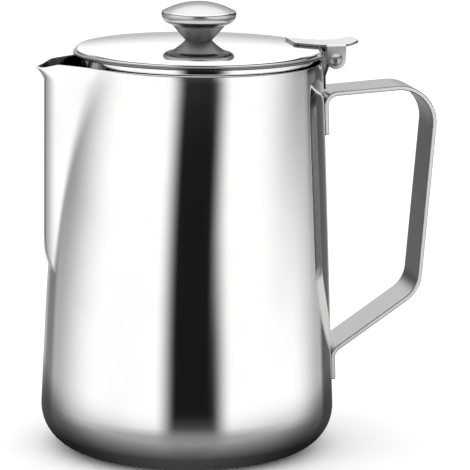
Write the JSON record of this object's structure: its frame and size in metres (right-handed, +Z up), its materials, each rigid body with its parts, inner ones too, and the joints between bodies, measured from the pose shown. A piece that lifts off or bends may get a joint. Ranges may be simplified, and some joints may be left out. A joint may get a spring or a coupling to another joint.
{
  "type": "hot milk jug",
  "caption": "Tapered stainless steel jug with a pressed pouring spout, a bent strap handle and a domed lid that hinges open by a thumb tab above the handle.",
  "frame": {"origin": "centre of the flat base, on the surface that the jug stands on", "axes": "+Z up along the jug, +X towards the handle, -X towards the spout, +Y across the plane of symmetry"},
  "size_m": [0.1774, 0.1302, 0.1984],
  "materials": {
    "polished_shell": "mirror-polished stainless steel outside, satin inside",
    "polished_lid": "mirror-polished stainless steel",
    "polished_knob": "mirror-polished stainless steel",
    "satin_strap": "satin stainless steel strap, polished edges",
    "hinge_steel": "bright pressed stainless steel",
    "fixing_steel": "plain steel fixings"
  },
  "bodies": {
    "jug": {"jug_body": "polished_shell", "handle": "satin_strap", "hinge_bracket": "hinge_steel"},
    "lid": {"lid": "polished_lid", "lid_strap": "hinge_steel", "hinge_pin": "hinge_steel", "knob_cap": "polished_knob", "knob_stem": "polished_knob", "knob_insert": "fixing_steel", "knob_screw": "fixing_steel", "knob_washer": "fixing_steel"}
  },
  "joints": [
    {"name": "lid_hinge", "type": "hinge", "parent": "jug", "child": "lid", "pos_m": [0.0635, 0, 0.1731], "axis": [0, 1, 0], "range_deg": [0, 100]}
  ]
}
